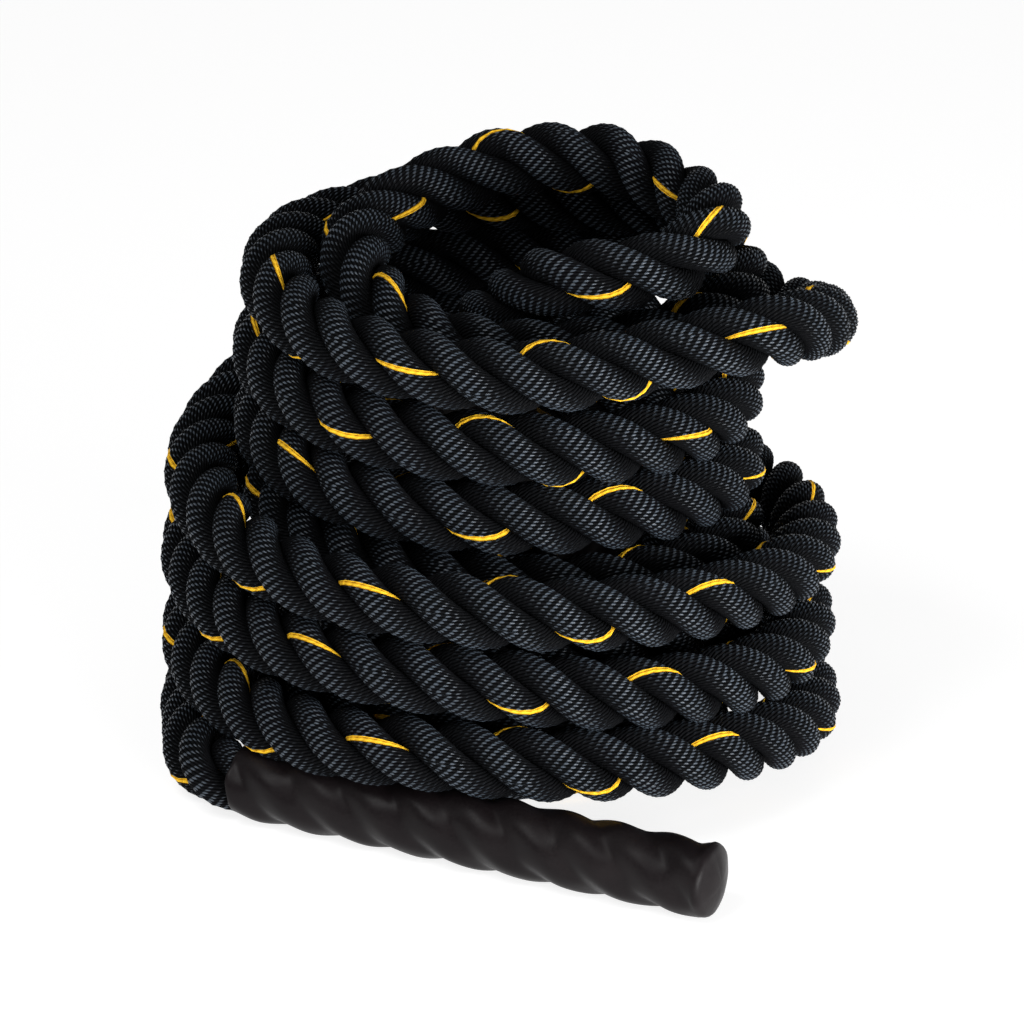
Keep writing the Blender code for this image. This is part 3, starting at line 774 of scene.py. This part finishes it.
    def dressed(self, shape: Term) -> Term:
        """Mark the tracer yarn, crease the valleys and give the strands their finish.

        Args:
            shape: The strands as tubes.

        Returns:
            The finished strands.
        """
        first = self.number("strand").math("LESS_THAN", self.first_strand_limit)
        shape = self.store(shape, "tracer", self.number("marked") * first)
        normal = Arrow.of(self.tree, "GeometryNodeInputNormal")
        shape = self.store(shape, "crown", normal.dot(self.arrow("outward")))
        shape = self.moved(shape, normal * (self.number("tracer") * self.size["Tracer Rise"]))
        shape = Term.of(self.tree, "GeometryNodeSetShadeSmooth", {"domain": "FACE"},
                        {"Geometry": shape, "Shade Smooth": True})
        valleys = self.number("crest").math("LESS_THAN", self.crease_limit)
        shape = Term.of(self.tree, "GeometryNodeSetShadeSmooth", {"domain": "EDGE"},
                        {"Geometry": shape, "Selection": valleys, "Shade Smooth": False})
        shape = self.store(shape, "along", self.number("distance"))
        shape = Term.of(self.tree, "GeometryNodeRealizeInstances", values={"Geometry": shape})
        return Term.of(self.tree, "GeometryNodeSetMaterial",
                       values={"Geometry": shape, "Material": self.size["Finish"]})


@dataclass(frozen=True)
class Guide:
    """The places along the rope that its strands are laid round."""

    lengths: list[float]
    places: list[Vector]
    ahead: list[Vector]
    side: list[Vector]

    def mesh(self, name: str, span: range, girth: Callable[[float], float]) -> Mesh:
        """Return a stretch of the line with the values that the strands need at each point.

        Args:
            name: The mesh's name.
            span: The numbers of the stretch's places.
            girth: What gives the rope's girth at a length.

        Returns:
            A mesh of points and edges.
        """
        mesh = bpy.data.meshes.new(name)
        mesh.from_pydata([self.places[index] for index in span],
                         [(index, index + 1) for index in range(len(span) - 1)], [])
        for key, arrows in (("ahead", self.ahead), ("side", self.side)):
            layer = mesh.attributes.new(key, "FLOAT_VECTOR", "POINT")
            layer.data.foreach_set("vector", [part for index in span for part in arrows[index]])
        lengths = [self.lengths[index] for index in span]
        for key, values in (("distance", lengths), ("girth", [girth(length) for length in lengths])):
            layer = mesh.attributes.new(key, "FLOAT", "POINT")
            layer.data.foreach_set("value", values)
        return mesh


@dataclass
class LaidRope:
    """Three strands of yarns laid round the route, in short runs that follow on from each other."""

    route: Route
    material: Material
    strands: int = 3
    yarns: int = 24
    strand_radius: float = 0.0085
    lay_radius: float = 0.0105
    yarn_depth: float = 0.0006
    tracer_rise: float = 0.0003
    yarn_turns: float = -2.56
    step: float = 0.004
    runs: int = 22
    seated: float = 0.040
    squeeze: float = 0.89
    swell_length: float = 0.014
    floor_clearance: float = 0.0003
    # the part's nodes that the runs stand for
    names: tuple[str, ...] = ("rope_lead", "rope_lower_coil", "rope_upper_coil", "rope_side_bight",
                              "rope_top_coil", "rope_inner_tail", "rope_end_front", "rope_end_inner")

    def girth(self, length: float) -> float:
        """Return the rope's girth, which is squeezed where a sleeve grips it.

        Args:
            length: The length along the rope.

        Returns:
            The girth as a share of the free rope's.
        """
        into = min(length, self.route.length - SLEEVE_LENGTH - length)
        share = min(max(into / self.swell_length, 0.0), 1.0)
        return self.squeeze + (1 - self.squeeze) * share * share * (3 - 2 * share)

    def inputs(self, first: float, last: float) -> Settings:
        """Return the values of the strand tree's named inputs.

        Args:
            first: The length along the rope where the strands begin.
            last: The length where they end.

        Returns:
            The value of each input.
        """
        return {"Lay Length": LAY_LENGTH, "Lay Radius": self.lay_radius, "Strand Radius": self.strand_radius,
                "Yarn Depth": self.yarn_depth, "Yarn Turns": self.yarn_turns, "Tracer Rise": self.tracer_rise,
                "Strands": self.strands, "Yarns": self.yarns, "From": first, "To": last,
                "Floor": self.floor_clearance, "Finish": self.material}

    def lay(self, name: str, guide: Guide, first: int, last: int, strands: StrandTree) -> Mesh:
        """Lay the strands round one run of the rope.

        Args:
            name: The run's name.
            guide: The places along the whole rope.
            first: The number of the run's first place.
            last: The number of its last place.
            strands: The tree that lays them.

        Returns:
            The strands as a closed mesh.
        """
        line = bpy.data.objects.new(
            name + "_line", guide.mesh(name + "_line", range(first - 1, last + 2), self.girth))
        bpy.context.scene.collection.objects.link(line)
        modifier = line.modifiers.new("lay", "NODES")
        modifier.node_group = strands.tree
        half_step = self.step / 2
        inputs = self.inputs(guide.lengths[first] - half_step, guide.lengths[last] + half_step)
        for key, value in inputs.items():
            modifier[strands.identifiers[key]] = value
        bpy.context.view_layer.update()
        depsgraph = bpy.context.evaluated_depsgraph_get()
        mesh = bpy.data.meshes.new_from_object(line.evaluated_get(depsgraph))
        line.modifiers.clear()
        bpy.data.objects.remove(line)
        close_ends(mesh)
        return mesh

    def build(self) -> list[Object]:
        """Make every run of the rope, each going on from the last.

        Returns:
            The runs in order.
        """
        total = self.route.length - SLEEVE_LENGTH + 2 * self.seated
        count = round(total / self.step)
        lengths = [total * number / count - self.seated for number in range(-1, count + 2)]
        places = [self.route.at(value) for value in lengths]
        guide = Guide(lengths, places, *carried(places))
        strands = StrandTree(self.inputs(lengths[0], lengths[-1]))
        made = []
        for run in range(self.runs):
            first, last = count * run // self.runs + 1, count * (run + 1) // self.runs + 1
            name = f"rope_run_{run + 1:02d}"
            piece = add_piece(name, self.lay(name, guide, first, last, strands))
            path = places[first:last + 1]
            length = sum((after - before).length for before, after in zip(path, path[1:]))
            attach(piece, "root")
            tuple(path[0])
            [tuple(point) for point in path]
            made.append(piece)
        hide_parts(*self.names)
        return made


def close_ends(mesh: Mesh) -> None:
    """Close a tube's open ends with sharp-edged faces and shade its sides smooth.

    Args:
        mesh: The mesh of one tube or more, which is changed.
    """
    work = bmesh.new()
    work.from_mesh(mesh)
    rim = [edge for edge in work.edges if edge.is_boundary]
    for face in work.faces:
        face.smooth = True
    filled = bmesh.ops.holes_fill(work, edges=rim, sides=0)["faces"]
    for face in filled:
        face.smooth = False
        for edge in face.edges:
            edge.smooth = False
    bmesh.ops.recalc_face_normals(work, faces=work.faces)
    work.to_mesh(mesh)
    work.free()


def add_piece(name: str, mesh: Mesh) -> Object:
    """Put a finished mesh in the scene.

    Args:
        name: The piece's name.
        mesh: The mesh, with every point where it belongs.

    Returns:
        The piece.
    """
    mesh.name = name
    piece = bpy.data.objects.new(name, mesh)
    bpy.context.scene.collection.objects.link(piece)
    return piece


@dataclass
class GripSleeve:
    """A film tube with one closed end, shrunk on so that the strands show through it."""

    name: str
    node: str
    place: Callable[[float], Vector]
    material: Material
    lobes: int = 3
    around: int = 144
    step: float = 0.0015
    wall: float = 0.0013
    crest_radius: float = 0.0195
    lobe_depth: float = 0.0024
    lobe_power: float = 0.75
    fade_length: float = 0.012
    end_depth_share: float = 0.35
    # height, waves round the film, and radians a metre that they turn
    ripples: tuple[Triple, ...] = ((0.00022, 5, 190.0), (0.00016, 9, -330.0))
    crest_calm_share: float = 0.5
    # height, waves round the cut edge, and radians that they start at
    edge_waves: tuple[Triple, ...] = ((0.0012, 1, 0.8), (0.0007, 3, 0.0), (0.0004, 7, 1.0))
    edge_length: float = 0.02
    inner_steps: tuple[int, ...] = (12, 6, 0)
    # share of the wall, and how far the lip stands out there
    lip_rings: tuple[Pair, ...] = ((0.85, 0.00025), (0.5, 0.0004), (0.15, 0.00025))
    chamfer: float = 0.0042
    chamfer_shares: tuple[float, ...] = (0.0, 0.3, 0.6, 0.85, 1.0)
    chamfer_inset_share: float = 0.9
    dome: float = 0.0036
    face_shares: tuple[float, ...] = (0.85, 0.7, 0.5, 0.25)
    floor_clearance: float = 0.0004

    def __post_init__(self) -> None:
        """Work out the film's middle line."""
        count = round(SLEEVE_LENGTH / self.step)
        self.lengths = [SLEEVE_LENGTH * number / count for number in range(count + 1)]
        self.middles = [self.place(length) for length in self.lengths]
        self.ahead, self.side = carried(self.middles)

    def radius(self, length: float, angle: float) -> float:
        """Return the film's outer radius.

        Args:
            length: The length from the mouth, in metres.
            angle: The angle round the sleeve, in radians.

        Returns:
            The radius in metres.
        """
        turn = math.tau * length / LAY_LENGTH
        bulge = (0.5 + 0.5 * math.cos(self.lobes * (angle - turn))) ** self.lobe_power
        fade = min(1.0, (SLEEVE_LENGTH - length) / self.fade_length)
        depth = self.lobe_depth * (self.end_depth_share + (1 - self.end_depth_share) * fade)
        ripple = sum(height * math.sin(waves * angle + twist * length)
                     for height, waves, twist in self.ripples)
        return self.crest_radius - depth * (1 - bulge) + ripple * (1 - bulge * self.crest_calm_share)

    def edge(self, angle: float) -> float:
        """Return how far the cut edge of the mouth wanders from square."""
        return sum(height * math.sin(waves * angle + start) for height, waves, start in self.edge_waves)

    def profile(self) -> list[tuple[int, float, float]]:
        """Return the film's rings, from inside the mouth over the lip to the face of the closed end.

        Returns:
            The number of each ring's place, its depth under the outer face and how far it is set back.
        """
        last = len(self.lengths) - 1
        rings = [(index, self.wall, 0.0) for index in self.inner_steps]
        rings += [(0, self.wall * share, setback) for share, setback in self.lip_rings]
        rings += [(index, 0.0, 0.0) for index, length in enumerate(self.lengths)
                  if length < SLEEVE_LENGTH - self.chamfer - self.step]
        for share in self.chamfer_shares:
            inset = self.chamfer * (1 - math.sqrt(1 - share * share)) * self.chamfer_inset_share
            rings.append((last, inset, self.chamfer * (1 - share)))
        for share in self.face_shares:
            inset = self.chamfer + (self.crest_radius - self.chamfer) * (1 - share)
            rings.append((last, inset, -self.dome * (1 - share * share)))
        return rings

    def ring(self, index: int, inset: float, setback: float) -> list[Vector]:
        """Return the points of one ring of the film.

        Args:
            index: The number of its place on the middle line.
            inset: Its depth under the outer face.
            setback: How far it is set back towards the mouth.

        Returns:
            The points in order round the film.
        """
        length = self.lengths[index]
        ahead, side = self.ahead[index], self.side[index]
        up = ahead.cross(side)
        points = []
        for number in range(self.around):
            angle = math.tau * number / self.around
            shift = self.edge(angle) * max(0.0, 1 - length / self.edge_length) - setback
            reach = self.radius(length, angle) - inset
            outward = side * math.cos(angle) + up * math.sin(angle)
            point = self.middles[index] + ahead * shift + outward * reach
            point.z = max(point.z, self.floor_clearance)
            points.append(point)
        return points

    def build(self) -> Object:
        """Make the sleeve.

        Returns:
            The film as one piece.
        """
        work = bmesh.new()
        rings = [[work.verts.new(point) for point in self.ring(*place)] for place in self.profile()]
        for lower, upper in zip(rings, rings[1:]):
            for number in range(self.around):
                following = (number + 1) % self.around
                work.faces.new((lower[number], lower[following], upper[following], upper[number]))
        tip = self.middles[-1] + self.ahead[-1] * self.dome
        for last, middle in ((rings[-1], tip), (rings[0], self.middles[self.inner_steps[0]])):
            centre = work.verts.new(middle)
            for number in range(self.around):
                work.faces.new((last[number], last[(number + 1) % self.around], centre))
        bmesh.ops.recalc_face_normals(work, faces=work.faces)
        for face in work.faces:
            face.smooth = True
        mesh = bpy.data.meshes.new(self.name)
        work.to_mesh(mesh)
        work.free()
        mesh.materials.append(self.material)
        piece = add_piece(self.name, mesh)
        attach(piece, "root")
        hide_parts(self.node)
        return piece


@dataclass(frozen=True)
class Lamp:
    """A soft oblong lamp, in metres and watts."""

    name: str
    place: Triple
    width: float
    height: float
    power: float


@dataclass
class Studio:
    """The camera, the lamps and the pale floor."""

    target: Triple = (-0.0016, 0.0319, 0.1177)
    distance: float = 3.2
    elevation: float = 22.5
    lens: float = 214.8
    sensor_width: float = 36.0
    clip_end: float = 50.0
    picture_pixels: int = 1024
    shift_pixels: tuple[int, int] = (10, 8)
    lamps: tuple[Lamp, ...] = (
        Lamp("key", (-1.1, -1.0, 2.2), 1.2, 1.2, 24.0),
        Lamp("strip", (1.3, -1.6, 0.33), 2.0, 0.6, 62.0),
    )
    room_strength: float = 0.20
    floor_colour: Colour = (0.42, 0.42, 0.42)
    floor_roughness: float = 0.9
    floor_glow: float = 0.80
    glow_near: float = 1.2
    glow_far: float = 3.5
    floor_radius: float = 6.0
    floor_rings: int = 4
    floor_drop: float = 0.0002
    cove_radius: float = 1.0
    cove_steps: int = 8
    cove_sides: int = 64
    merge_distance: float = 0.0001

    def camera(self) -> None:
        """Put the camera where the photograph was taken from."""
        tilt = math.radians(self.elevation)
        data = bpy.data.cameras.new("view")
        data.lens = self.lens
        data.sensor_width = self.sensor_width
        data.shift_x, data.shift_y = (pixels / self.picture_pixels for pixels in self.shift_pixels)
        data.clip_end = self.clip_end
        eye = bpy.data.objects.new("view", data)
        eye.location = Vector(self.target) + self.distance * Vector((0, -math.cos(tilt), math.sin(tilt)))
        eye.rotation_euler = (math.pi / 2 - tilt, 0, 0)
        bpy.context.scene.collection.objects.link(eye)
        bpy.context.scene.camera = eye

    def light(self, lamp: Lamp) -> None:
        """Add a lamp that faces the pile.

        Args:
            lamp: The lamp.
        """
        data = bpy.data.lights.new(lamp.name, "AREA")
        data.shape = "RECTANGLE"
        data.size = lamp.width
        data.size_y = lamp.height
        data.energy = lamp.power
        made = bpy.data.objects.new(lamp.name, data)
        made.location = lamp.place
        made.rotation_euler = (Vector(self.target) - Vector(lamp.place)).to_track_quat("-Z", "Y").to_euler()
        bpy.context.scene.collection.objects.link(made)

    def cove(self) -> None:
        """Add the white floor, which turns up into a low wall far behind the pile."""
        profile = [Vector((self.floor_radius * number / self.floor_rings, 0, 0))
                   for number in range(self.floor_rings + 1)]
        for number in range(1, self.cove_steps + 1):
            angle = math.pi / 2 * number / self.cove_steps
            profile.append(Vector((self.floor_radius + self.cove_radius * math.sin(angle), 0,
                                   self.cove_radius * (1 - math.cos(angle)))))
        work = bmesh.new()
        points = [work.verts.new(point) for point in profile]
        edges = [work.edges.new(pair) for pair in zip(points, points[1:])]
        bmesh.ops.spin(work, geom=points + edges, cent=(0, 0, 0), axis=(0, 0, 1), angle=math.tau,
                       steps=self.cove_sides, use_merge=True)
        bmesh.ops.remove_doubles(work, verts=work.verts, dist=self.merge_distance)
        bmesh.ops.recalc_face_normals(work, faces=work.faces)
        if sum(face.normal.z * face.calc_area() for face in work.faces) < 0:
            bmesh.ops.reverse_faces(work, faces=work.faces)
        for face in work.faces:
            face.smooth = True
        mesh = bpy.data.meshes.new("floor")
        work.to_mesh(mesh)
        work.free()
        floor = add_piece("floor", mesh)
        floor.location.z = -self.floor_drop
        mesh.materials.append(self.paper())

    def paper(self) -> Material:
        """Return the floor's material, white paper that glows, and more so far from the pile."""
        made, shader = new_material("white_paper")
        place = Arrow.of(made.node_tree, "ShaderNodeTexCoord", output="Object")
        far = place.dot(place).between(self.glow_near ** 2, self.glow_far ** 2)
        feed(shader, {
            "Base Color": (*self.floor_colour, 1),
            "Roughness": self.floor_roughness,
            "Specular IOR Level": 0.0,
            "Emission Color": mix_colour(far, (self.floor_glow,) * 3, (1.0, 1.0, 1.0)),
            "Emission Strength": 1.0,
        })
        return made

    def build(self) -> None:
        """Set the whole studio up."""
        self.camera()
        for lamp in self.lamps:
            self.light(lamp)
        world = bpy.data.worlds.new("studio")
        bpy.context.scene.world = world
        world.use_nodes = True
        feed(world.node_tree.nodes["Background"], {"Color": (1, 1, 1, 1), "Strength": self.room_strength})
        self.cove()
        bpy.context.scene.view_settings.view_transform = "Standard"


def main() -> None:
    """Build the studio, the rope and its two sleeves, and report each piece."""
    studio = Studio()
    studio.build()
    log.info("studio: camera, %d lamps and floor", len(studio.lamps))
    route = Route()
    pieces = LaidRope(route, RopeFinish().material()).build()
    film = SleeveFinish().material()
    inner_mouth = route.length - SLEEVE_LENGTH
    pieces.append(GripSleeve("grip_sleeve_front_film", "grip_sleeve_front",
                             lambda length: route.at(-length), film).build())
    pieces.append(GripSleeve("grip_sleeve_inner_film", "grip_sleeve_inner",
                             lambda length: route.at(inner_mouth + length), film).build())
    for piece in pieces:
        log.info("%s: %d faces", piece.name, len(piece.data.polygons))


if __name__ == "__main__":
    main()
